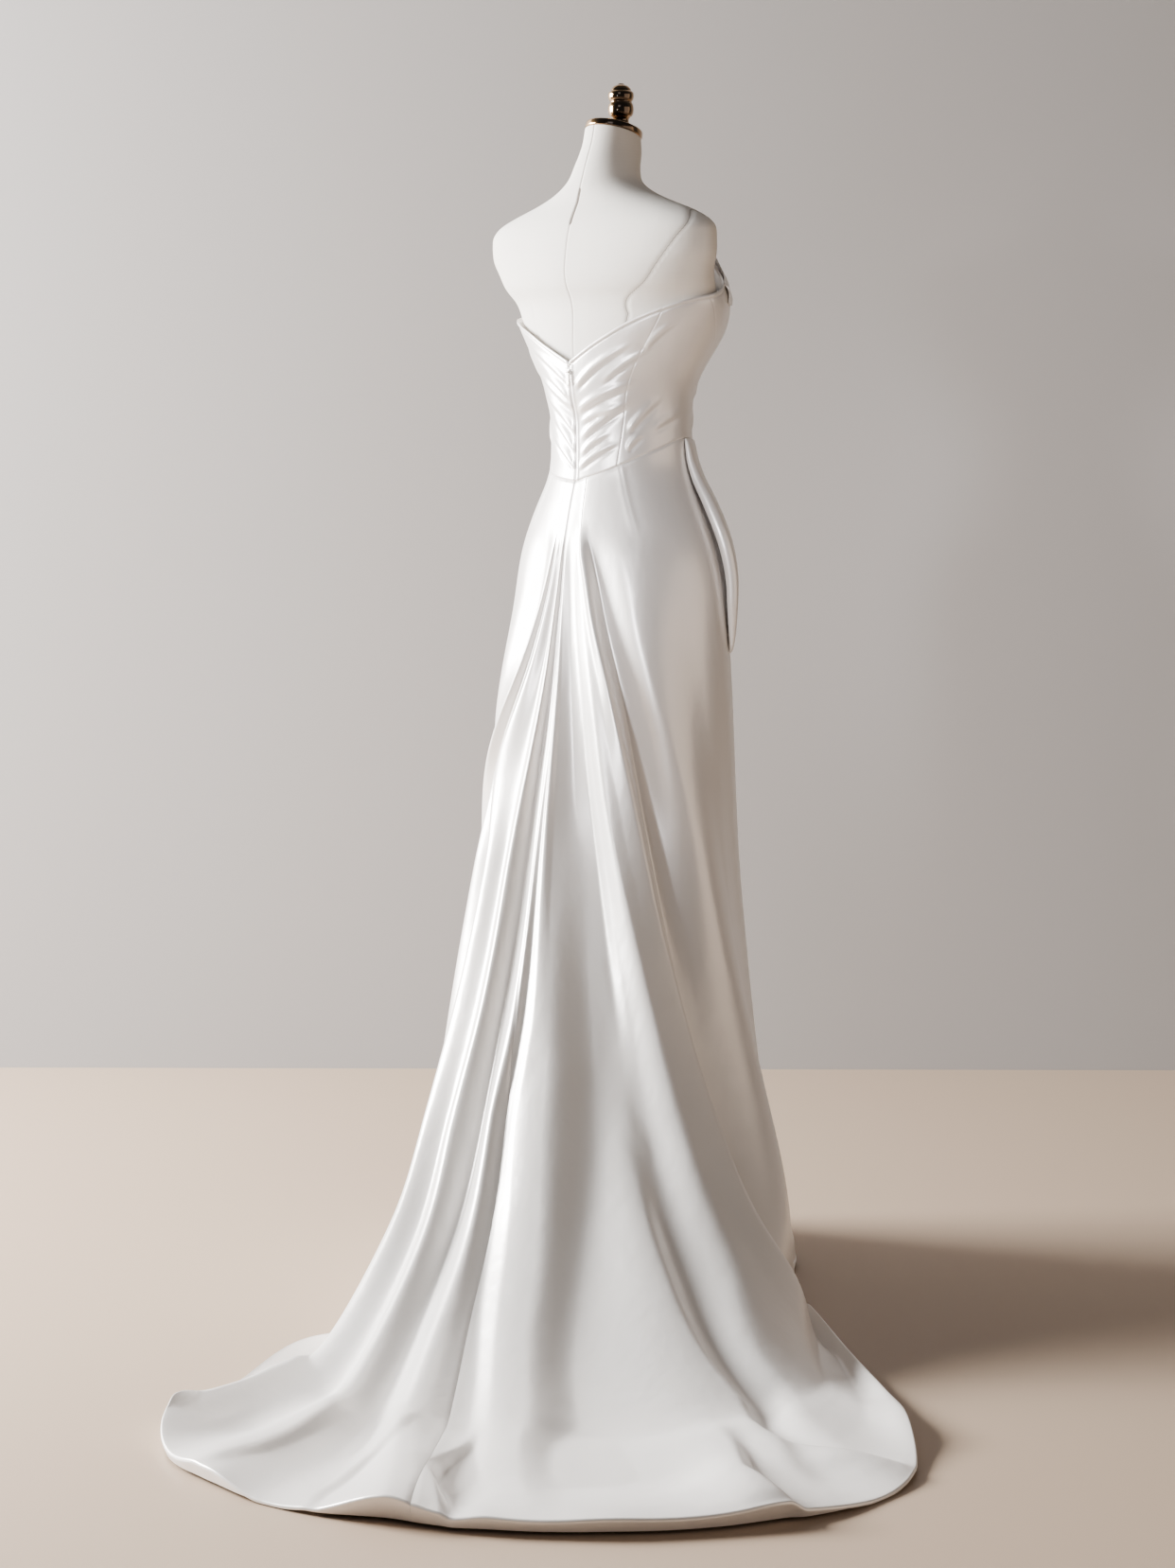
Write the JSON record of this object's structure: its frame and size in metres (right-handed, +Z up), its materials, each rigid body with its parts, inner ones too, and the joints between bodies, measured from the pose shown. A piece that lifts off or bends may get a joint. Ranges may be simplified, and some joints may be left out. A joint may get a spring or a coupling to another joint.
{
  "type": "strapless satin gown with a train on a limbless dress form",
  "caption": "Fitted strapless satin gown with a V waist, draped hips and a pleated floor train, worn open-backed by a limbless dress form on a stand.",
  "frame": {"origin": "on the floor, at the middle of the stand's base, under the form's pole", "axes": "+Z up, +Y towards the wearer's back, -X towards the wearer's right; the train sweeps back and to the wearer's right"},
  "size_m": [1.1339, 1.2597, 1.69],
  "materials": {
    "satin": "heavy ivory duchess satin, soft broad sheen",
    "linen": "off-white matt linen cover",
    "tape": "woven zip tape",
    "brass": "polished",
    "zip_metal": "ivory lacquered zinc",
    "wire": "plated wire",
    "stand_metal": "off-white powder coat"
  },
  "bodies": {
    "root": {"bodice_back_left": "satin", "bodice_back_right": "satin", "bodice_side_left": "satin", "bodice_side_right": "satin", "bodice_front": "satin", "cuff_left": "satin", "cuff_right": "satin", "skirt_front": "satin", "skirt_back_left": "satin", "skirt_back_right": "satin", "hip_drape_left": "satin", "hip_drape_right": "satin", "zip_tape": "tape", "zip_slider": "zip_metal", "eye_loop": "wire", "hook_bill": "wire", "form_torso": "linen", "neck_cap": "brass", "neck_finial": "brass", "stand_pole": "stand_metal", "stand_base": "stand_metal"},
    "zip_pull": {"zip_pull": "zip_metal"}
  },
  "joints": [
    {"name": "pull_hinge", "type": "hinge", "parent": "root", "child": "zip_pull", "pos_m": [0, 0.10891, 1.29067], "axis": [1, 0, 0], "range_deg": [0, 150]}
  ]
}
